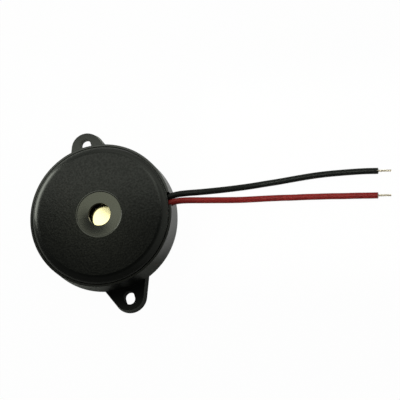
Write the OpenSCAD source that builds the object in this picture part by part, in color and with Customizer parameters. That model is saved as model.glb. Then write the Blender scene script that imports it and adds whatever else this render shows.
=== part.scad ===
// Round panel buzzer with two slotted ears and two flying leads.
// A brass sounder disc hangs under the cover, and its driver board is staked to the floor of the base.
// The case is sized round the disc, and its height is the stack of what lies inside.
// Millimetres, +Z up. The origin is the middle of the underside, and the ears lie along Y.

/* [Sounder disc] */
// Diameter of the brass diaphragm
disc_d = 27; // [24:0.5:32]
// Thickness of the brass diaphragm
disc_t = 0.25; // [0.15:0.05:0.4]
// Height of the air space between the diaphragm and the top plate
cavity_h = 1.4; // [1:0.1:2]
// Width of the ring under the top plate that the diaphragm's rim is bonded to
ledge_w = 1.1; // [0.8:0.1:1.5]
// Radial clearance round the diaphragm in its seat
seat_fit = 0.2; // [0.1:0.05:0.3]
// Depth of the seat's recess below the ledge
seat_depth = 0.6; // [0.5:0.05:0.8]
// Width of the bonding bead on the underside of the diaphragm
bond_w = 0.9; // [0.6:0.1:1.1]
// Gap between the bonding bead and the wall of the seat
bond_fit = 0.05; // [0.02:0.01:0.1]
// Distance from the diaphragm's rim in to the edge of the piezo ceramic
ceramic_inset = 3.5; // [3.2:0.1:5]
// Thickness of the piezo ceramic
ceramic_t = 0.25; // [0.15:0.05:0.4]
// Thickness of the fired silver electrodes
electrode_t = 0.05; // [0.03:0.01:0.08]
// Bare margin of ceramic round the electrodes
electrode_margin = 0.6; // [0.3:0.1:1]
// Width of the feedback electrode's tongue
tongue_w = 3.2; // [2.4:0.1:4]
// Gap between the two electrodes
electrode_gap = 0.5; // [0.3:0.1:0.8]

/* [Cover] */
// Thickness of the cover's top plate
plate_t = 1.2; // [0.8:0.1:1.6]
// Height of the cover above the shelf it rests on
cover_h = 1.9; // [1.6:0.1:2.4]
// Upright band at the bottom of the cover's edge
lip_band = 0.6; // [0.5:0.05:0.8]
// Radial width of the rounded shoulder round the flat top
shoulder_w = 1.9; // [1.2:0.1:3]
// Half of the angle that the shoulder's arc turns through
shoulder_turn = 25; // [10:1:30]
// Thickness of the skirt where it holds the disc's seat
seat_wall = 2; // [1.8:0.1:2.6]
// Thickness of the skirt below the seat
skirt_t = 1.3; // [1:0.1:1.6]
// Depth of the skirt below the seat
skirt_below = 1; // [0.5:0.1:1.3]
// Radial clearance between the skirt and the base wall
skirt_fit = 0.1; // [0.05:0.05:0.2]

/* [Sound opening] */
// Diameter of the sound hole
hole_d = 5.5; // [3:0.1:8]
// Width of the shallow dish from the edge of the sound hole
dish_w = 2.85; // [1:0.05:5]
// Depth of the step at the dish's edge
dish_step = 0.15; // [0.1:0.05:0.3]
// Radial width of the step at the dish's edge
dish_edge = 0.12; // [0.1:0.02:0.3]
// Depth of the dish at the sound hole
dish_depth = 0.4; // [0.3:0.05:0.6]

/* [Base] */
// Width of the shelf on the base wall that the cover rests on
shelf_w = 1.1; // [0.9:0.1:1.4]
// Gap between the cover's edge and the rim of the base wall round it
rim_fit = 0.15; // [0.1:0.05:0.3]
// Thickness of the rim round the cover
rim_t = 0.5; // [0.4:0.05:0.8]
// Height of the rim over the shelf
rim_h = 0.45; // [0.3:0.05:0.5]
// Thickness of the base floor
floor_t = 1.2; // [0.8:0.1:2]
// Height of the tapered foot of the base wall
foot_h = 2.5; // [1.5:0.1:3]
// How far the foot of the base wall stands in
foot_inset = 0.6; // [0.3:0.05:0.9]

/* [Ears] */
// Distance from the base wall out to the centre of a slot
slot_out = 2.45; // [2:0.05:5]
// Width of a slot
slot_w = 2.6; // [2:0.1:3.2]
// Straight travel of a screw along a slot
slot_travel = 0.7; // [0.5:0.1:2]
// Material left round the end of a slot at the underside
ear_rim = 2.75; // [1.4:0.05:3.5]
// Distance from a slot's centre in to the centre of the ear's round end
ear_end_inset = 0.7; // [0:0.05:1]
// Thickness of an ear
ear_t = 2.2; // [1.5:0.1:4]
// Angle of an ear's flank to the line of the ears
ear_flank = 22; // [5:1:30]
// How far the ear's top outline stands inside its underside
ear_draft = 0.3; // [0.1:0.05:0.6]

/* [Driver board] */
// Space between the wall's bore and the edge of the circuit board
board_room = 3.3; // [2.8:0.1:4]
// Thickness of the circuit board
board_t = 1; // [0.8:0.1:1.6]
// Gap between the floor and the circuit board
board_gap = 1.4; // [1:0.1:2]
// Height between the circuit board and the diaphragm
air_h = 3.75; // [3.1:0.05:6]
// Diameter of the three moulded posts under the board
post_d = 3.4; // [2.8:0.1:4]
// Distance from the board's edge in to a post's centre
post_inset = 2.5; // [2:0.1:3]
// Diameter of the staking peg on each post
peg_d = 1.6; // [1.2:0.1:2]
// Radial clearance of a peg in the board's hole
peg_fit = 0.1; // [0.05:0.05:0.2]
// How far a peg's staked head spreads past the peg
stake_lap = 0.5; // [0.3:0.05:0.7]
// Height of a peg's staked head
stake_h = 0.5; // [0.3:0.1:0.8]
// Length of a chip resistor
chip_l = 2; // [1.6:0.1:2.4]
// Width of a chip resistor
chip_w = 1.25; // [0.8:0.05:1.5]
// Height of a chip resistor
chip_h = 0.55; // [0.4:0.05:0.7]
// Length of the transistor's body
transistor_l = 2.9; // [2.4:0.1:3.4]
// Width of the transistor's body
transistor_w = 1.3; // [1.1:0.1:1.6]
// Height of the transistor over the board
transistor_h = 1.1; // [0.9:0.1:1.4]
// Reach of the transistor's legs from its body
leg_reach = 0.55; // [0.4:0.05:0.7]
// Width of a transistor leg
leg_w = 0.4; // [0.3:0.05:0.5]
// Thickness of a transistor leg
leg_t = 0.12; // [0.1:0.01:0.2]

/* [Solder joints and inner wires] */
// Radius of a solder joint's foot
joint_r = 0.9; // [0.75:0.05:1]
// Height of a solder joint
joint_h = 0.45; // [0.3:0.05:0.55]
// Flat rim of solder left round a wire at the tip of its joint
joint_land = 0.1; // [0.05:0.01:0.15]
// Distance from the board's edge in to the joints of the inner wires
pad_inset = 4; // [3.2:0.1:5]
// Distance from the ceramic's edge in to the joints on its electrodes
spot_inset = 3.6; // [2.5:0.1:4.5]
// Diameter of the three wires from the board to the disc
jumper_d = 0.5; // [0.3:0.05:0.6]

/* [Leads] */
// Diameter of a lead over its insulation
lead_d = 1.5; // [1:0.05:1.6]
// Gap between the two leads where they leave the case
lead_gap = 0.1; // [0.05:0.05:0.4]
// Clearance round the leads in their notch
lead_fit = 0.05; // [0.03:0.01:0.1]
// Angle of the lead notch about the case's axis, from +X
lead_angle = -5.5; // [-20:0.5:20]
// Diameter of the tinned conductor
conductor_d = 0.5; // [0.4:0.05:0.6]
// Length of the stripped end of a lead
strip_l = 3.2; // [2:0.1:6]
// Distance from the board's edge in to the joints of the leads
lead_pad_inset = 1.9; // [1.5:0.1:2.5]
// Distance of each lead's joint from the middle line of the notch
lead_pad_side = 1.6; // [1.2:0.1:2]

/* [Hidden] */
$fn = 96;
HULL_FN = 40;
LEAD_SIDES = 8;
JUMPER_STEPS = 6;
// Depth of a strip that a hull starts from, and how far cuts run past a face
EPS = 0.01;
CUT = 1;

// Heights, from the floor up
board_z = floor_t + board_gap;
board_top = board_z + board_t;
disc_z = board_top + air_h;
ledge_z = disc_z + disc_t;
plate_z = ledge_z + cavity_h;
height = plate_z + plate_t;
parting_z = height - cover_h;
rim_z = parting_z + rim_h;
ceramic_z = disc_z - ceramic_t;
electrode_z = ceramic_z - electrode_t;
recess_z = ledge_z - seat_depth;
skirt_z = recess_z - skirt_below;
lead_z = parting_z - lead_fit - lead_d / 2;
notch_z = lead_z - lead_d / 2 - lead_fit;
pad_top = board_top + joint_h;

// Radii, from the disc out
disc_r = disc_d / 2;
seat_r = disc_r + seat_fit;
skirt_r = seat_r + seat_wall;
skirt_in_r = skirt_r - skirt_t;
bore_r = skirt_r + skirt_fit;
cover_r = bore_r + shelf_w;
top_r = cover_r - shoulder_w;
rim_r = cover_r + rim_fit;
base_r = rim_r + rim_t;
ledge_in_r = disc_r - ledge_w;
ceramic_r = disc_r - ceramic_inset;
hole_r = hole_d / 2;
dish_r = hole_r + dish_w;
board_r = bore_r - board_room;
post_r = board_r - post_inset;

// Ears
slot_y = base_r + slot_out;
ear_end_y = slot_y - ear_end_inset;
ear_end_r = slot_w / 2 + ear_rim;

// Lead notch
lead_spacing = lead_d + lead_gap;
notch_w = lead_spacing + lead_d + 2 * lead_fit;
notch_back = skirt_r - lead_d - 2 * lead_fit - lead_gap;
exit_x = base_r - 2 * lead_fit;

// Joints: distance from the axis and angle
POST_ANGLES = [60, 180, 300];
tongue_angle = 165;
pad_r = board_r - pad_inset;
spot_r = ceramic_r - spot_inset;
ground_r = (ceramic_r + seat_r - bond_fit - bond_w) / 2;
DRIVE_PAD = [pad_r, 112];
FEEDBACK_PAD = [pad_r, 148];
GROUND_PAD = [pad_r, 240];
DRIVE_SPOT = [spot_r, 100];
FEEDBACK_SPOT = [spot_r, tongue_angle];
GROUND_SPOT = [ground_r, 240];
lead_pad_x = board_r - lead_pad_inset;
joint_tip_r = jumper_d / 2 + joint_land;
lead_joint_tip_r = lead_d / 2 + joint_land;

// Centres of the parts on the board, in units of the board's radius
TRANSISTOR_AT = [0, 0.12];
BIAS_AT = [0.37, 0.27];
DRIVE_AT = [-0.3, 0.1];
FEEDBACK_AT = [0.2, -0.35];

// Route of a lead inside the case, in the frame of the notch, from its joint on the board to the turn:
// share of the way out from the joint to the drop, share of the way in to the notch's middle line,
// share of the rise
drop_x = notch_back + lead_d / 2 + lead_fit;
TAIL = [
    [0, 0, 0], [0, 0, 0.12], [0.11, 0.1, 0.26], [0.32, 0.35, 0.32], [0.6, 0.75, 0.34],
    [0.86, 1, 0.42], [0.98, 1, 0.6]
];
// The turn from the drop into the notch: distance from the drop and height against the exit,
// in lead diameters
TURN = [[0, -0.78], [0.16, -0.32], [0.55, -0.04], [1, 0]];

// Routes of the free leads in the frame of the notch:
// distance past the exit, step to the side, share of the drop from the exit to the floor
BLACK_ROUTE = [
    [0, 0, 0], [2, 0, 0], [4, -0.2, 0.02], [7, -0.5, 0.13], [10, -0.65, 0.3], [13, -0.7, 0.5],
    [16, -0.7, 0.7], [19, -0.7, 0.87], [22, -0.75, 0.97], [25, -0.95, 1], [28, -1.15, 1],
    [31, -1.35, 1], [34, -1.6, 1], [37, -1.95, 1], [40, -2.4, 1], [43, -2.9, 1],
    [46, -3.45, 1], [49.4, -4.2, 1]
];
RED_ROUTE = [
    [0, 0, 0], [1.5, 0, 0], [4, -0.4, 0.02], [7, -0.95, 0.13], [10, -1.4, 0.3], [13, -1.8, 0.5],
    [16, -2.15, 0.7], [19, -2.45, 0.87], [22, -2.85, 0.97], [25, -3.4, 1], [28, -4.05, 1],
    [31, -4.65, 1], [34, -5.3, 1], [37, -5.95, 1], [40, -6.65, 1], [43, -7.3, 1],
    [46, -8, 1], [48.2, -8.5, 1]
];

// Helpers

function polar(p) = [p[0] * cos(p[1]), p[0] * sin(p[1])];
function unit(v) = v / norm(v);

// Direction of a route at point i
function heading(route, i) =
    i == 0 ? unit(route[1] - route[0])
    : i == len(route) - 1 ? unit(route[i] - route[i - 1])
    : unit(unit(route[i + 1] - route[i]) + unit(route[i] - route[i - 1]));

// Ring of points square to the route at point i
function ring(route, i, r, sides, aside) =
    let (t = heading(route, i))
    let (a = unit(aside - (aside * t) * t))
    let (b = cross(t, a))
    [for (s = [0:sides - 1])
        let (q = 360 * (s + 0.5) / sides)
        route[i] + r * (a * cos(q) + b * sin(q))];

// Round tube along a route, as one closed solid
module tube(route, r, aside = [0, 1, 0], sides = LEAD_SIDES) {
    n = len(route);
    rings = [for (i = [0:n - 1]) each ring(route, i, r, sides, aside)];
    bands = [for (i = [0:n - 2], s = [0:sides - 1])
        let (k = (s + 1) % sides)
        each [
            [i * sides + s, (i + 1) * sides + s, (i + 1) * sides + k],
            [i * sides + s, (i + 1) * sides + k, i * sides + k]
        ]];
    start = [[for (s = [0:sides - 1]) s]];
    end = [[for (s = [0:sides - 1]) n * sides - 1 - s]];
    polyhedron(points = rings, faces = concat(start, bands, end));
}

// Slot with round ends, standing along Z
module slot(z, h) {
    translate([0, 0, z]) {
        for (s = [-1, 1])
            translate([0, s * slot_travel / 2, 0]) cylinder(d = slot_w, h = h);
        translate([-slot_w / 2, -slot_travel / 2, 0]) cube([slot_w, slot_travel, h]);
    }
}

// Solder joint: a cone of solder whose flat tip is where the wire enters
module solder_joint(tip_r, h) {
    cylinder(r1 = max(joint_r, tip_r + joint_land), r2 = tip_r, h = h);
}

// Frame of the lead notch: X points out through it
module at_notch() {
    rotate([0, 0, lead_angle]) children();
}

// Place of a point of a free lead's route in the frame of the notch
function lead_point(p, side) = [
    exit_x + p[0],
    side * lead_spacing / 2 + p[1],
    lead_z + (lead_d / 2 - lead_z) * p[2]
];
function lead_route(points, side) = [for (p = points) lead_point(p, side)];

// Stripped end, straight on from the end of a lead
function strip_route(lead) =
    let (n = len(lead))
    [lead[n - 1], lead[n - 1] + strip_l * heading(lead, n - 1)];

// Whole route of a lead inside the case, from its joint on the board to the exit
function tail_route(side) = concat(
    [for (p = TAIL) [
        lead_pad_x + (drop_x - lead_pad_x) * p[0],
        side * (lead_pad_side + (lead_spacing / 2 - lead_pad_side) * p[1]),
        pad_top + (lead_z - pad_top) * p[2]
    ]],
    [for (p = TURN) [drop_x + lead_d * p[0], side * lead_spacing / 2, lead_z + lead_d * p[1]]],
    [[exit_x, side * lead_spacing / 2, lead_z]]
);

// Route of a thin wire from a joint on the board up to a joint on the disc
function jumper_route(pad, spot, spot_z) =
    let (a = polar(pad))
    let (b = polar(spot))
    let (low = pad_top)
    let (rise = spot_z - low)
    let (stub = jumper_d / 2)
    concat(
        [[a[0], a[1], low]],
        [for (k = [0:JUMPER_STEPS])
            let (t = k / JUMPER_STEPS)
            let (s = t * t * (3 - 2 * t))
            [a[0] + (b[0] - a[0]) * s, a[1] + (b[1] - a[1]) * s, low + stub + (rise - 2 * stub) * t]],
        [[b[0], b[1], spot_z]]
    );

module jumper(pad, spot, spot_z) {
    across = polar(spot) - polar(pad);
    tube(jumper_route(pad, spot, spot_z), jumper_d / 2, [-across[1], across[0], 0]);
}

// Chip resistor lying along X
module chip(at) {
    translate([board_r * at[0] - chip_l / 2, board_r * at[1] - chip_w / 2, board_top])
        cube([chip_l, chip_w, chip_h]);
}

// Sub-parts

// One mounting ear: a drafted tab whose flanks run into the wall
module ear() {
    root_y = bore_r - foot_inset;
    spread = (ear_end_y - root_y) * tan(ear_flank);
    hull() {
        translate([0, ear_end_y, 0])
            cylinder(r1 = ear_end_r, r2 = ear_end_r - ear_draft, h = ear_t, $fn = HULL_FN);
        linear_extrude(EPS)
            square_line(ear_end_r / cos(ear_flank) + spread, root_y);
        translate([0, 0, ear_t - EPS])
            linear_extrude(EPS)
                square_line((ear_end_r - ear_draft) / cos(ear_flank) + spread, root_y);
    }
}

// Thin strip across Y at the root of an ear
module square_line(half_w, y) {
    translate([-half_w, y - EPS]) square([2 * half_w, EPS]);
}

module case_base() {
    color("#1d1f1d") {
        difference() {
            union() {
                rotate_extrude()
                    polygon([
                        [0, 0], [base_r - foot_inset, 0], [base_r, foot_h], [base_r, rim_z],
                        [rim_r, rim_z], [rim_r, parting_z], [0, parting_z]
                    ]);
                for (a = [0, 180])
                    rotate([0, 0, a]) ear();
            }
            translate([0, 0, floor_t]) cylinder(r = bore_r, h = height);
            for (s = [-1, 1])
                translate([0, s * slot_y, 0]) slot(-CUT, ear_t + 2 * CUT);
            at_notch()
                translate([bore_r - CUT, -notch_w / 2, notch_z])
                    cube([base_r - bore_r + 2 * CUT, notch_w, height]);
        }
        for (a = POST_ANGLES)
            rotate([0, 0, a]) translate([post_r, 0, floor_t]) {
                cylinder(d = post_d, h = board_gap);
                cylinder(d = peg_d, h = board_gap + board_t + stake_h);
                translate([0, 0, board_gap + board_t])
                    cylinder(d1 = peg_d + 2 * stake_lap, d2 = peg_d, h = stake_h);
            }
    }
}

// Half section of the cover, to be turned about the axis
module cover_section() {
    band_z = parting_z + lip_band;
    chord = [cover_r - top_r, band_z - height];
    arc_r = norm(chord) / 2 / sin(shoulder_turn);
    inward = unit([chord[1], -chord[0]]);
    arc_at = [top_r, height] + chord / 2 + inward * arc_r * cos(shoulder_turn);
    difference() {
        polygon([
            [hole_r, plate_z], [hole_r, height - dish_depth],
            [dish_r - dish_edge, height - dish_step], [dish_r, height],
            [cover_r, height], [cover_r, parting_z],
            [skirt_r, parting_z], [skirt_r, skirt_z], [skirt_in_r, skirt_z],
            [skirt_in_r, recess_z], [seat_r, recess_z], [seat_r, ledge_z],
            [ledge_in_r, ledge_z], [ledge_in_r, plate_z]
        ]);
        difference() {
            translate([top_r, band_z]) square([cover_r - top_r + CUT, height - band_z + CUT]);
            translate(arc_at) circle(r = arc_r);
        }
    }
}

module front_cover() {
    color("#2b2d2a")
        at_notch()
            difference() {
                // The seam of the revolve goes to the side away from the notch
                rotate([0, 0, 180]) rotate_extrude() cover_section();
                translate([notch_back, -notch_w / 2, skirt_z - CUT])
                    cube([base_r, notch_w, parting_z - skirt_z + CUT]);
            }
}

module diaphragm() {
    color("#c9a94e")
        translate([0, 0, disc_z]) cylinder(d = disc_d, h = disc_t);
}

// Outline of the feedback electrode's tongue, from the middle of the disc out to one edge
module tongue_outline(grow) {
    r = tongue_w / 2 + grow;
    rotate(tongue_angle) {
        circle(r = r);
        translate([0, -r]) square([ceramic_r, 2 * r]);
    }
}

module electrode_disc() {
    circle(r = ceramic_r - electrode_margin);
}

module ceramic_element() {
    color("#d8d4c4") {
        translate([0, 0, ceramic_z]) cylinder(r = ceramic_r, h = ceramic_t);
        translate([0, 0, electrode_z]) {
            linear_extrude(electrode_t)
                difference() {
                    electrode_disc();
                    tongue_outline(electrode_gap);
                }
            linear_extrude(electrode_t)
                intersection() {
                    electrode_disc();
                    tongue_outline(0);
                }
        }
    }
}

module diaphragm_bond() {
    outer = seat_r - bond_fit;
    color("#e8e6df")
        rotate_extrude()
            polygon([
                [outer - bond_w, disc_z], [outer, disc_z],
                [outer, recess_z], [outer - bond_w / 2, recess_z]
            ]);
}

module circuit_board() {
    color("#8a6a3a")
        difference() {
            translate([0, 0, board_z]) cylinder(r = board_r, h = board_t);
            for (a = POST_ANGLES)
                rotate([0, 0, a]) translate([post_r, 0, board_z - CUT])
                    cylinder(d = peg_d + 2 * peg_fit, h = board_t + 2 * CUT);
        }
}

// One bent leg: foot on the board, riser and the stub that enters the body
module transistor_leg() {
    knee = transistor_h / 2;
    rotate([90, 0, 90])
        linear_extrude(leg_w, center = true)
            polygon([
                [0, knee], [leg_reach / 2 + leg_t, knee], [leg_reach / 2 + leg_t, leg_t],
                [leg_reach, leg_t], [leg_reach, 0], [leg_reach / 2, 0],
                [leg_reach / 2, knee - leg_t], [0, knee - leg_t]
            ]);
}

module transistor() {
    stand_off = leg_t / 2;
    pair = transistor_l / 3;
    color("#26282a")
        translate([board_r * TRANSISTOR_AT[0], board_r * TRANSISTOR_AT[1], board_top]) {
            translate([-transistor_l / 2, -transistor_w / 2, stand_off])
                cube([transistor_l, transistor_w, transistor_h - stand_off]);
            translate([0, transistor_w / 2, 0]) transistor_leg();
            for (s = [-1, 1])
                translate([s * pair, -transistor_w / 2, 0]) rotate([0, 0, 180]) transistor_leg();
        }
}

module bias_resistor() {
    color("#1f1f22") chip(BIAS_AT);
}

module drive_resistor() {
    color("#1f1f22") chip(DRIVE_AT);
}

module feedback_resistor() {
    color("#1f1f22") chip(FEEDBACK_AT);
}

module board_solder() {
    color("#b9bcbe")
        translate([0, 0, board_top]) {
            for (pad = [DRIVE_PAD, FEEDBACK_PAD, GROUND_PAD])
                translate(polar(pad)) solder_joint(joint_tip_r, joint_h);
            at_notch()
                for (s = [-1, 1])
                    translate([lead_pad_x, s * lead_pad_side]) solder_joint(lead_joint_tip_r, joint_h);
        }
}

module disc_solder() {
    color("#b9bcbe") {
        for (spot = [DRIVE_SPOT, FEEDBACK_SPOT])
            translate([polar(spot)[0], polar(spot)[1], electrode_z])
                mirror([0, 0, 1]) solder_joint(joint_tip_r, joint_h);
        translate([polar(GROUND_SPOT)[0], polar(GROUND_SPOT)[1], disc_z])
            mirror([0, 0, 1]) solder_joint(joint_tip_r, joint_h);
    }
}

module drive_wire() {
    color("#3a5f9e") jumper(DRIVE_PAD, DRIVE_SPOT, electrode_z - joint_h);
}

module feedback_wire() {
    color("#d8c24a") jumper(FEEDBACK_PAD, FEEDBACK_SPOT, electrode_z - joint_h);
}

module ground_wire() {
    color("#1c1f1f") jumper(GROUND_PAD, GROUND_SPOT, disc_z - joint_h);
}

module red_lead_tail() {
    color("#8e1f20") at_notch() tube(tail_route(-1), lead_d / 2);
}

module black_lead_tail() {
    color("#1c1f1f") at_notch() tube(tail_route(1), lead_d / 2);
}

module red_lead() {
    color("#8e1f20") at_notch() tube(lead_route(RED_ROUTE, -1), lead_d / 2);
}

module black_lead() {
    color("#1c1f1f") at_notch() tube(lead_route(BLACK_ROUTE, 1), lead_d / 2);
}

module red_wire_end() {
    color("#b3a793")
        at_notch() tube(strip_route(lead_route(RED_ROUTE, -1)), conductor_d / 2);
}

module black_wire_end() {
    color("#b3a793")
        at_notch() tube(strip_route(lead_route(BLACK_ROUTE, 1)), conductor_d / 2);
}

case_base();
front_cover();
diaphragm();
ceramic_element();
diaphragm_bond();
circuit_board();
transistor();
bias_resistor();
drive_resistor();
feedback_resistor();
board_solder();
disc_solder();
drive_wire();
feedback_wire();
ground_wire();
red_lead_tail();
black_lead_tail();
red_lead();
black_lead();
red_wire_end();
black_wire_end();
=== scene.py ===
import math

import bpy
from mathutils import Matrix, Vector
from mathutils.geometry import interpolate_bezier


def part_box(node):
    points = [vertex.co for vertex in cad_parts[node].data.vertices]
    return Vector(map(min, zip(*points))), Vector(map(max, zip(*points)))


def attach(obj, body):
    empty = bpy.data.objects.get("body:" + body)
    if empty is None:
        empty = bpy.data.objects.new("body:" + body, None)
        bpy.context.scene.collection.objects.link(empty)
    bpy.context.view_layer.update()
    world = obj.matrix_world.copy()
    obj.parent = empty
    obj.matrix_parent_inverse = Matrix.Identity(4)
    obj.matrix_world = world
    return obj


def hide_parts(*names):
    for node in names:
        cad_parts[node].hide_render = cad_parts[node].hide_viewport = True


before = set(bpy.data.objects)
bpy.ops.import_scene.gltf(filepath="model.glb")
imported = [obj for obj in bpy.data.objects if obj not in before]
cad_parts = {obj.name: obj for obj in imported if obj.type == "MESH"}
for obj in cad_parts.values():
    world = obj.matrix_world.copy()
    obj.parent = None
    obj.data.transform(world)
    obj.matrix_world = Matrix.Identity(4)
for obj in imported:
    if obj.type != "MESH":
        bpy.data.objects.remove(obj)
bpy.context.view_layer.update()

MM = 0.001
UP = Vector((0, 0, 1))

# View: the photograph's camera, worked out from the case's circles and ears
PICTURE_SIZE = 400
SENSOR_MM = 36.0
CAMERA_DISTANCE = 0.8
CLIP_START = 0.01
VIEW_TILT = math.radians(19.6)
VIEW_AZIMUTH = math.radians(-58.5)
VIEW_TURN = math.radians(40.9)
PIXELS_PER_METRE = 4117.7
BASE_CENTRE_PX = (109.75, 223.17)

# Free leads: sizes and routes of the part's source, in the frame of the lead notch
LEAD_ANGLE = math.radians(-5.5)
LEAD_D = 1.5 * MM
LEAD_SPACING = 1.6 * MM
EXIT_X = 17.45 * MM
EXIT_Z = 7.5 * MM
# Distance past the exit in mm, step to the side in mm, share of the drop from the exit to the floor
BLACK_ROUTE = [
    (0, 0, 0), (2, 0, 0), (4, -0.2, 0.02), (7, -0.5, 0.13), (10, -0.65, 0.3), (13, -0.7, 0.5),
    (16, -0.7, 0.7), (19, -0.7, 0.87), (22, -0.75, 0.97), (25, -0.95, 1), (28, -1.15, 1),
    (31, -1.35, 1), (34, -1.6, 1), (37, -1.95, 1), (40, -2.4, 1), (43, -2.9, 1),
    (46, -3.45, 1), (49.4, -4.2, 1),
]
RED_ROUTE = [
    (0, 0, 0), (1.5, 0, 0), (4, -0.4, 0.02), (7, -0.95, 0.13), (10, -1.4, 0.3), (13, -1.8, 0.5),
    (16, -2.15, 0.7), (19, -2.45, 0.87), (22, -2.85, 0.97), (25, -3.4, 1), (28, -4.05, 1),
    (31, -4.65, 1), (34, -5.3, 1), (37, -5.95, 1), (40, -6.65, 1), (43, -7.3, 1),
    (46, -8, 1), (48.2, -8.5, 1),
]
# Fineness of the leads' curves, and of the sum that gives their lengths
LEAD_ROUND_STEPS = 6
LEAD_CURVE_STEPS = 8
LENGTH_POINTS = 33

# Stripped ends: strands laid round a middle one, with a full turn in each length of lay
STRIP_LENGTH = 3.2 * MM
CONDUCTOR_D = 0.5 * MM
STRANDS = 7
STRAND_LAY = 5.0 * MM
STRAND_SIDES = 10
STRAND_STEPS = 40

# Zones of the case: heights from the frame, radii of the part's source
TOP_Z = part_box("front_cover")[1].z
RIM_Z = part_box("case_base")[1].z
FLAT_R = 15.0 * MM
DISH_R = 5.6 * MM
# Where one finish of the case passes into the next, from and to, as offsets from those sizes
TOP_FADE = (-0.45 * MM, -0.05 * MM)
RIM_FADE = (0.02 * MM, 0.1 * MM)
FLAT_FADE = (0.9 * MM, -0.2 * MM)
DISH_FADE = (0.1 * MM, 0.2 * MM)

# Refraction of the case's plastic and of the lead coverings
PLASTIC_IOR = 1.5

# Case: darkest and lightest colour, and the ends of each zone's roughness
CASE_COLOURS = ((0.0018, 0.0021, 0.0022), (0.0038, 0.0042, 0.0043))
BASE_ROUGH = (0.30, 0.38)
SHOULDER_ROUGH = (0.19, 0.25)
DISH_ROUGH = (0.12, 0.17)
FLAT_ROUGH = (0.30, 0.36)
# Specular levels; the flat's rises from the pits of its grain to its peaks
DISH_SHINE = 0.68
WALL_SHINE = 0.5
FLAT_SHINE = (0.17, 0.29)
PIT_TO_PEAK = (0.3, 0.7)
# Sizes and depths of the case's reliefs, and the radius of its edges
CLOUD_SIZE = 1.6 * MM
SKIN_SIZE = 0.5 * MM
SKIN_DEPTH = 0.002 * MM
GRAIN_SIZE = 0.42 * MM
GRAIN_DEPTH = 0.045 * MM
EDGE_R = 0.12 * MM
EDGE_SAMPLES = 6

# Brass disc, with rolling lines along y
BRASS_COLOURS = ((0.88, 0.77, 0.51), (0.93, 0.83, 0.58))
BRASS_ROUGH = (0.10, 0.16)
STAIN_SIZE = 3 * MM
ROLLING_SIZE = 0.06 * MM
ROLLING_DEPTH = 0.0008 * MM
ROLLING_STRETCH = (1, 0.04, 1)

# Lead coverings
COVERING_COLOURS = {
    "red_insulation": ((0.175, 0.010, 0.010), (0.235, 0.016, 0.016)),
    "black_insulation": ((0.003, 0.004, 0.004), (0.008, 0.009, 0.009)),
}
COVERING_ROUGH = (0.40, 0.52)
COVERING_SHINE = 0.14
WAVE_SIZE = 2.2 * MM
WAVE_DEPTH = 0.03 * MM
SCUFF_SIZE = 0.35 * MM
SCUFF_DEPTH = 0.006 * MM

# Other finishes: darkest and lightest colour, size of the mottle, mean roughness, metallic share
PLAIN_LOOKS = {
    "ceramic": ((0.55, 0.54, 0.50), (0.68, 0.67, 0.63), 0.8 * MM, 0.45, 0.6),
    "bond": ((0.45, 0.45, 0.43), (0.60, 0.60, 0.57), 1.5 * MM, 0.4, 0.0),
    "board": ((0.20, 0.13, 0.05), (0.30, 0.20, 0.08), 1.0 * MM, 0.5, 0.0),
    "chip": ((0.012, 0.012, 0.012), (0.025, 0.025, 0.025), 0.3 * MM, 0.5, 0.0),
    "solder": ((0.50, 0.50, 0.50), (0.66, 0.66, 0.65), 0.4 * MM, 0.28, 1.0),
    "jumper": ((0.10, 0.19, 0.40), (0.15, 0.26, 0.50), 1.0 * MM, 0.4, 0.0),
    "tinned_copper": ((0.58, 0.50, 0.42), (0.70, 0.62, 0.54), 0.25 * MM, 0.5, 0.7),
}
ROUGH_SWING = 0.05

# Record's material slots and the CAD nodes that take them
NODES_OF_SLOT = {
    "case": ["case_base", "front_cover"],
    "brass": ["diaphragm"],
    "ceramic": ["ceramic_element"],
    "bond": ["diaphragm_bond"],
    "board": ["circuit_board"],
    "chip": ["transistor", "bias_resistor", "drive_resistor", "feedback_resistor"],
    "solder": ["board_solder", "disc_solder"],
    "jumper": ["drive_wire", "feedback_wire"],
    "red_insulation": ["red_lead_tail", "red_lead"],
    "black_insulation": ["black_lead_tail", "black_lead", "ground_wire"],
    "tinned_copper": ["red_wire_end", "black_wire_end"],
}

# Table: half its side, its paper, and the share of plain white in what the camera sees of it
TABLE_REACH = 3.0
PAPER_COLOURS = ((0.86, 0.86, 0.86), (0.88, 0.88, 0.88))
PAPER_SIZE = 4 * MM
CAMERA_SHARE = 0.98
# Painted reflection: reflections see a little of that white, and a painted white glow in a band by the wall
# that lightens the wall's reflection on that side; the band's side, counted from the picture's right, and its
# two edges by their distance from the case's axis
PAINTED_REFLECTION_SHARE = (0.02, 0.55)
PAINTED_BAND_SIDE = math.radians(20)
PAINTED_BAND_NEAR = (9 * MM, 19 * MM)
PAINTED_BAND_FAR = (32 * MM, 23 * MM)

# Room: its lighter side, counted from the picture's right, its levels on the dark and on the light side,
# and the cosines towards the light side at which those are reached
ROOM_SIDE = math.radians(60)
ROOM_LEVELS = (0.10, 0.56)
ROOM_TURN = (-0.45, 0.8)
# Share of that level which is left overhead, and the sines of the rise at which it starts and ends
OVERHEAD_SHARE = 0.28
OVERHEAD_RISE = (0.94, 0.78)

# Lamps: their faint yellow-green, and the point that the slanted one faces
LIGHT_TINT = (0.95, 1.0, 0.87)
WARM_TINT = (0.95, 1.0, 0.73)
CASE_MIDDLE = Vector((0, 0, 8 * MM))


def add_object(name, data):
    """New object in the scene."""
    made = bpy.data.objects.new(name, data)
    bpy.context.scene.collection.objects.link(made)
    return made


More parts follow.
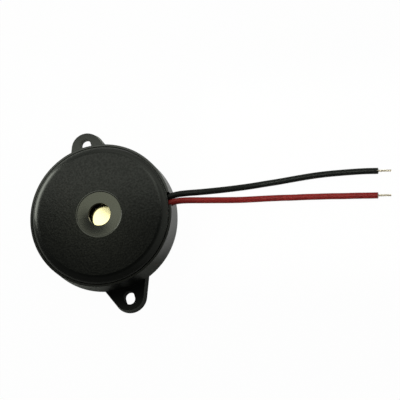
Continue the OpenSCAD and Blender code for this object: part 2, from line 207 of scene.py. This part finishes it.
def add_camera():
    """Camera at the photograph's angle, aimed so that the base's centre lands on its pixel."""
    towards = Vector((math.cos(VIEW_AZIMUTH), math.sin(VIEW_AZIMUTH), 0))
    across = Vector((math.sin(VIEW_AZIMUTH), -math.cos(VIEW_AZIMUTH), 0))
    normal = towards * math.sin(VIEW_TILT) + UP * math.cos(VIEW_TILT)
    along = towards * math.cos(VIEW_TILT) - UP * math.sin(VIEW_TILT)
    right = along * math.cos(VIEW_TURN) - across * math.sin(VIEW_TURN)
    down = along * math.sin(VIEW_TURN) + across * math.cos(VIEW_TURN)
    focal = PIXELS_PER_METRE * CAMERA_DISTANCE
    middle = PICTURE_SIZE / 2
    aim = Vector(((BASE_CENTRE_PX[0] - middle) / focal, (middle - BASE_CENTRE_PX[1]) / focal, -1))
    square_on = Matrix((right, -down, normal)).transposed()
    swing = aim.normalized().rotation_difference(-UP).to_matrix()
    data = bpy.data.cameras.new("camera")
    data.sensor_width = SENSOR_MM
    data.lens = SENSOR_MM * focal / PICTURE_SIZE
    data.clip_start = CLIP_START
    camera = add_object("camera", data)
    camera.matrix_world = Matrix.Translation(normal * CAMERA_DISTANCE) @ (square_on @ swing).to_4x4()
    bpy.context.scene.camera = camera


def picture_direction(angle):
    """Direction on the table at that angle from the picture's right, counter-clockwise."""
    turn = VIEW_AZIMUTH + VIEW_TURN + angle
    return Vector((math.cos(turn), math.sin(turn), 0))


def picture_spot(right, up, height):
    """Point over the table, by its offset in mm from the case's axis along the picture's sides."""
    to_right, to_up = picture_direction(0), picture_direction(math.pi / 2)
    return (to_right * right + to_up * up + UP * height) * MM


class Shader:
    """Short names for the nodes of a material or a world."""

    def __init__(self, owner):
        owner.use_nodes = True
        self.tree = owner.node_tree
        self.tree.nodes.clear()

    def node(self, kind, inputs=None, **settings):
        """Outputs of a new node, whose inputs are given as values or as outputs of other nodes."""
        made = self.tree.nodes.new(kind)
        for key, value in settings.items():
            setattr(made, key, value)
        for key, value in (inputs or {}).items():
            if isinstance(value, bpy.types.NodeSocket):
                self.tree.links.new(value, made.inputs[key])
            else:
                made.inputs[key].default_value = value
        return made.outputs

    def maths(self, operation, a, b):
        """Number worked out from two others."""
        return self.node("ShaderNodeMath", {0: a, 1: b}, operation=operation)["Value"]

    def vector_maths(self, operation, *vectors):
        """Outputs of an operation on vectors."""
        return self.node("ShaderNodeVectorMath", dict(enumerate(vectors)), operation=operation)

    def ease(self, value, start, end, low=0.0, high=1.0):
        """Smooth step of value from start to end, given as low to high."""
        return self.node("ShaderNodeMapRange", {
            "Value": value, "From Min": start, "From Max": end, "To Min": low, "To Max": high,
        }, interpolation_type="SMOOTHSTEP")["Result"]

    def blend(self, share, low, high, start=0.0, end=1.0):
        """Number from low to high, as share goes from start to end."""
        return self.node("ShaderNodeMapRange", {
            "Value": share, "From Min": start, "From Max": end, "To Min": low, "To Max": high,
        })["Result"]


class Finish(Shader):
    """A procedural material under construction."""

    # Places of the two colours and of the mixed one among the Mix node's sockets
    MIX_A, MIX_B, MIX_OUT = 6, 7, 2

    def __init__(self, name):
        self.material = bpy.data.materials.new(name)
        super().__init__(self.material)
        self.place = self.node("ShaderNodeTexCoord")["Object"]

    def past(self, value, edge, fade):
        """Share of the way past an edge, eased between two offsets from it."""
        return self.ease(value, edge + fade[0], edge + fade[1])

    def noise(self, size, detail, place=None):
        """Noise with grains of that size in metres, 0 to 1."""
        return self.node("ShaderNodeTexNoise", {
            "Vector": place or self.place, "Scale": 1 / size, "Detail": detail,
        })["Fac"]

    def tint(self, share, dark, light):
        """Colour between two, each given as red, green, blue."""
        return self.node("ShaderNodeMix", {
            "Factor": share, self.MIX_A: (*dark, 1), self.MIX_B: (*light, 1),
        }, data_type="RGBA")[self.MIX_OUT]

    def bump(self, height, depth, under=None):
        """Normal of a relief of that depth in metres, laid over another normal if one is given."""
        inputs = {"Height": height, "Distance": depth}
        if under is not None:
            inputs["Normal"] = under
        return self.node("ShaderNodeBump", inputs)["Normal"]

    def material_with(self, surface):
        """Finished material with that shader on its surface."""
        self.node("ShaderNodeOutputMaterial", {"Surface": surface})
        return self.material

    def principled(self, **inputs):
        """Finished material of the principled shader, whose inputs are named with _ for a space."""
        named = {name.replace("_", " "): value for name, value in inputs.items()}
        return self.material_with(self.node("ShaderNodeBsdfPrincipled", named)["BSDF"])


def case_finish():
    """Black moulding: spark-eroded grain on the cover's flat, semi-gloss shoulder, walls, dish and ears."""
    finish = Finish("case")
    flattened = finish.vector_maths("MULTIPLY", finish.place, (1, 1, 0))["Vector"]
    radius = finish.vector_maths("LENGTH", flattened)["Value"]
    height = finish.node("ShaderNodeSeparateXYZ", {0: finish.place})["Z"]
    inside_shoulder = finish.past(radius, FLAT_R, FLAT_FADE)
    outside_dish = finish.past(radius, DISH_R, DISH_FADE)
    at_top = finish.past(height, TOP_Z, TOP_FADE)
    on_cover = finish.past(height, RIM_Z, RIM_FADE)
    grained = finish.maths("MULTIPLY", finish.maths("MULTIPLY", inside_shoulder, outside_dish), at_top)

    cloud = finish.noise(CLOUD_SIZE, 3)
    skin = finish.noise(SKIN_SIZE, 2)
    grain = finish.noise(GRAIN_SIZE, 3)
    moulded = finish.blend(on_cover, finish.blend(skin, *BASE_ROUGH), finish.blend(skin, *SHOULDER_ROUGH))
    smooth = finish.blend(outside_dish, finish.blend(skin, *DISH_ROUGH), moulded)
    rough = finish.blend(grained, smooth, finish.blend(cloud, *FLAT_ROUGH))
    smooth_shine = finish.blend(outside_dish, DISH_SHINE, WALL_SHINE)
    shine = finish.blend(grained, smooth_shine, finish.ease(grain, *PIT_TO_PEAK, *FLAT_SHINE))

    soft_edge = finish.node("ShaderNodeBevel", {"Radius": EDGE_R}, samples=EDGE_SAMPLES)["Normal"]
    fine_relief = finish.bump(skin, SKIN_DEPTH, soft_edge)
    relief = finish.bump(grain, finish.blend(grained, 0.0, GRAIN_DEPTH), fine_relief)
    colour = finish.tint(cloud, *CASE_COLOURS)
    return finish.principled(
        Base_Color=colour, Roughness=rough, IOR=PLASTIC_IOR, Specular_IOR_Level=shine, Normal=relief,
    )


def brass_finish():
    """Rolled brass sheet, bright, with faint rolling lines."""
    finish = Finish("brass")
    stretched = finish.node("ShaderNodeMapping", {"Vector": finish.place, "Scale": ROLLING_STRETCH})["Vector"]
    rolled = finish.noise(ROLLING_SIZE, 3, stretched)
    stain = finish.noise(STAIN_SIZE, 3)
    return finish.principled(
        Base_Color=finish.tint(stain, *BRASS_COLOURS), Metallic=1.0,
        Roughness=finish.blend(stain, *BRASS_ROUGH), Normal=finish.bump(rolled, ROLLING_DEPTH),
    )


def covering_finish(name, dark, light):
    """PVC lead covering: satin, slightly wavy, with faint handling marks."""
    finish = Finish(name)
    wave = finish.noise(WAVE_SIZE, 2)
    scuff = finish.noise(SCUFF_SIZE, 4)
    return finish.principled(
        Base_Color=finish.tint(wave, dark, light), Roughness=finish.blend(scuff, *COVERING_ROUGH),
        IOR=PLASTIC_IOR, Specular_IOR_Level=COVERING_SHINE,
        Normal=finish.bump(scuff, SCUFF_DEPTH, finish.bump(wave, WAVE_DEPTH)),
    )


def plain_finish(name, dark, light, size, rough, metallic):
    """Even stuff with a mottle of that size between two colours and a slight relief."""
    finish = Finish(name)
    mottle = finish.noise(size, 3)
    return finish.principled(
        Base_Color=finish.tint(mottle, dark, light), Metallic=metallic,
        Roughness=finish.blend(mottle, rough - ROUGH_SWING, rough + ROUGH_SWING),
        Normal=finish.bump(mottle, SKIN_DEPTH),
    )


def make_finishes():
    """One material for each slot of the record."""
    finishes = {"case": case_finish(), "brass": brass_finish()}
    for slot, looks in PLAIN_LOOKS.items():
        finishes[slot] = plain_finish(slot, *looks)
    for slot, colours in COVERING_COLOURS.items():
        finishes[slot] = covering_finish(slot, *colours)
    return finishes


def dress_nodes(finishes):
    """Gives each CAD node the material of its slot."""
    for slot, names in NODES_OF_SLOT.items():
        for name in names:
            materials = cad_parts[name].data.materials
            materials.clear()
            materials.append(finishes[slot])


def lead_points(route, side):
    """Centre-line of a free lead; side is 1 for the black lead's half of the notch and -1 for the red's."""
    turn = Matrix.Rotation(LEAD_ANGLE, 3, "Z")
    return [
        turn @ Vector((
            EXIT_X + run * MM,
            side * LEAD_SPACING / 2 + step * MM,
            EXIT_Z + (LEAD_D / 2 - EXIT_Z) * drop,
        ))
        for run, step, drop in route
    ]


def add_lead(name, points, material):
    """Lead as a round curve through points, with its real length."""
    data = bpy.data.curves.new(name, "CURVE")
    data.dimensions = "3D"
    data.bevel_depth = LEAD_D / 2
    data.bevel_resolution = LEAD_ROUND_STEPS
    data.resolution_u = LEAD_CURVE_STEPS
    data.use_fill_caps = True
    data.materials.append(material)
    line = data.splines.new("BEZIER")
    line.bezier_points.add(len(points) - 1)
    for knot, point in zip(line.bezier_points, points):
        knot.co = point
        knot.handle_left_type = knot.handle_right_type = "AUTO"
    lead = add_object(name, data)
    # Sets the knots' automatic handles, which the length is worked out from
    bpy.context.view_layer.update()
    length = 0.0
    for a, b in zip(line.bezier_points, line.bezier_points[1:]):
        stretch = interpolate_bezier(a.co, a.handle_right, b.handle_left, b.co, LENGTH_POINTS)
        length += sum((q - p).length for p, q in zip(stretch, stretch[1:]))
    return lead, length


def add_strands(name, start, direction, material):
    """Stripped end: fine strands, one straight in the middle and the others laid round it."""
    aside = direction.cross(UP).normalized()
    lift = aside.cross(direction)
    # Three strands lie side by side across the conductor
    strand_r = CONDUCTOR_D / 3 / 2

    def round_at(angle):
        """Direction square to the strands at that angle."""
        return aside * math.cos(angle) + lift * math.sin(angle)

    verts, faces = [], []
    for strand in range(STRANDS):
        first = len(verts)
        offset = 0 if strand == 0 else 2 * strand_r
        for step in range(STRAND_STEPS + 1):
            run = STRIP_LENGTH * step / STRAND_STEPS
            laid = round_at(math.tau * (strand / (STRANDS - 1) + run / STRAND_LAY))
            centre = start + direction * run + laid * offset
            for corner in range(STRAND_SIDES):
                verts.append(centre + round_at(math.tau * corner / STRAND_SIDES) * strand_r)
        for step in range(STRAND_STEPS):
            ring = first + step * STRAND_SIDES
            for corner in range(STRAND_SIDES):
                a = ring + corner
                b = ring + (corner + 1) % STRAND_SIDES
                faces.append((a, b, b + STRAND_SIDES, a + STRAND_SIDES))
        last = first + STRAND_STEPS * STRAND_SIDES
        faces.append(tuple(first + corner for corner in reversed(range(STRAND_SIDES))))
        faces.append(tuple(last + corner for corner in range(STRAND_SIDES)))
    mesh = bpy.data.meshes.new(name)
    mesh.from_pydata(verts, [], faces)
    # Round sides of four corners, and flat ends
    for face in mesh.polygons:
        face.use_smooth = len(face.vertices) == 4
    mesh.materials.append(material)
    return add_object(name, mesh)


def stand_for(piece, node):
    """Attaches a new piece, which stands for a CAD node, to the part's only body, and hides that node."""
    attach(piece, "root")
    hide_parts(node)


def add_cords(finishes):
    """Both free leads with their stripped ends."""
    for colour, route, side in (("black", BLACK_ROUTE, 1), ("red", RED_ROUTE, -1)):
        points = lead_points(route, side)
        covering = f"{colour}_insulation"
        lead, length = add_lead(f"{colour}_lead_cord", points, finishes[covering])
        stand_for(lead, f"{colour}_lead")
        direction = (points[-1] - points[-2]).normalized()
        strands = add_strands(f"{colour}_strands", points[-1], direction, finishes["tinned_copper"])
        stand_for(strands, f"{colour}_wire_end")


def table_finish():
    """White paper that is nearly shadowless to the camera, lit in reflections, with a painted white glow in a
    band by the wall.
    """
    finish = Finish("table")
    paper = finish.tint(finish.noise(PAPER_SIZE, 2), *PAPER_COLOURS)
    lit = finish.node("ShaderNodeBsdfDiffuse", {"Color": paper})["BSDF"]
    white = finish.node("ShaderNodeEmission", {"Color": (1, 1, 1, 1), "Strength": 1.0})["Emission"]
    # Painted reflection: a band of the table by the wall glows white to glossy and transmission rays only
    reach = finish.vector_maths("DOT_PRODUCT", finish.place, picture_direction(PAINTED_BAND_SIDE))["Value"]
    painted_band = finish.maths("MULTIPLY", finish.ease(reach, *PAINTED_BAND_NEAR), finish.ease(reach, *PAINTED_BAND_FAR))
    ray = finish.node("ShaderNodeLightPath")
    mirrored = finish.maths("ADD", ray["Is Glossy Ray"], ray["Is Transmission Ray"])
    painted_reflection = finish.maths("MULTIPLY", mirrored, finish.blend(painted_band, *PAINTED_REFLECTION_SHARE))
    to_camera = finish.maths("MULTIPLY", ray["Is Camera Ray"], CAMERA_SHARE)
    share = finish.maths("ADD", to_camera, painted_reflection)
    return finish.material_with(finish.node("ShaderNodeMixShader", {0: share, 1: lit, 2: white})["Shader"])


def add_table():
    """Plain white table under the part."""
    mesh = bpy.data.meshes.new("table")
    corners = [(x * TABLE_REACH, y * TABLE_REACH, 0) for x, y in ((-1, -1), (1, -1), (1, 1), (-1, 1))]
    mesh.from_pydata(corners, [], [(0, 1, 2, 3)])
    mesh.materials.append(table_finish())
    add_object("table", mesh)


def add_room():
    """Dim room: dark overhead, and round the horizon lighter towards the picture's upper right."""
    world = bpy.data.worlds.new("room")
    shader = Shader(world)
    look = shader.node("ShaderNodeTexCoord")["Generated"]
    towards = shader.vector_maths("DOT_PRODUCT", look, picture_direction(ROOM_SIDE))["Value"]
    rise = shader.node("ShaderNodeSeparateXYZ", {0: look})["Z"]
    level = shader.maths(
        "MULTIPLY", shader.blend(towards, *ROOM_LEVELS, *ROOM_TURN),
        shader.ease(rise, *OVERHEAD_RISE, OVERHEAD_SHARE, 1.0),
    )
    glow = shader.node("ShaderNodeBackground", {"Color": (*LIGHT_TINT, 1), "Strength": level})["Background"]
    shader.node("ShaderNodeOutputWorld", {"Surface": glow})
    bpy.context.scene.world = world


def add_lamp(name, spot, size, radiance, target=None, roll=0, spread=180, colour=LIGHT_TINT):
    """Soft rectangular lamp that faces its target, or else straight down.

    Its spot is in mm as for picture_spot, its width and depth are in mm, radiance is the brightness of
    its face, and its width runs level before the roll in degrees.
    """
    width, depth = (side * MM for side in size)
    data = bpy.data.lights.new(name, "AREA")
    data.shape = "RECTANGLE"
    data.size = width
    data.size_y = depth
    data.energy = math.pi * width * depth * radiance
    data.color = colour
    data.spread = math.radians(spread)
    lamp = add_object(name, data)
    lamp.visible_camera = False
    place = picture_spot(*spot)
    back = (place - target).normalized() if target else UP
    level = UP.cross(back).normalized() if target else picture_direction(0)
    facing = Matrix((level, back.cross(level), back)).transposed()
    facing = facing @ Matrix.Rotation(math.radians(roll), 3, "Z")
    lamp.matrix_world = Matrix.Translation(place) @ facing.to_4x4()


def add_lamps():
    """Soft lamps close over the case, which shade its top, and one from the left for the shoulder."""
    add_lamp("lamp_over", (-12.4, 7, 50), (8.8, 15), 2.0, roll=57, colour=WARM_TINT)
    add_lamp("lamp_mid", (-6, 20.2, 35), (60, 21.6), 1.8)
    add_lamp("lamp_up", (55, 75, 50), (160, 60), 0.26)
    add_lamp("lamp_left", (-214, 105, 75), (145, 150), 4.6, target=CASE_MIDDLE)
    add_lamp("lamp_right", (62, 10, 35), (80, 50), 0.65, spread=30)


add_camera()
finishes = make_finishes()
add_cords(finishes)
dress_nodes(finishes)
add_table()
add_room()
add_lamps()
bpy.context.scene.view_settings.view_transform = "Standard"
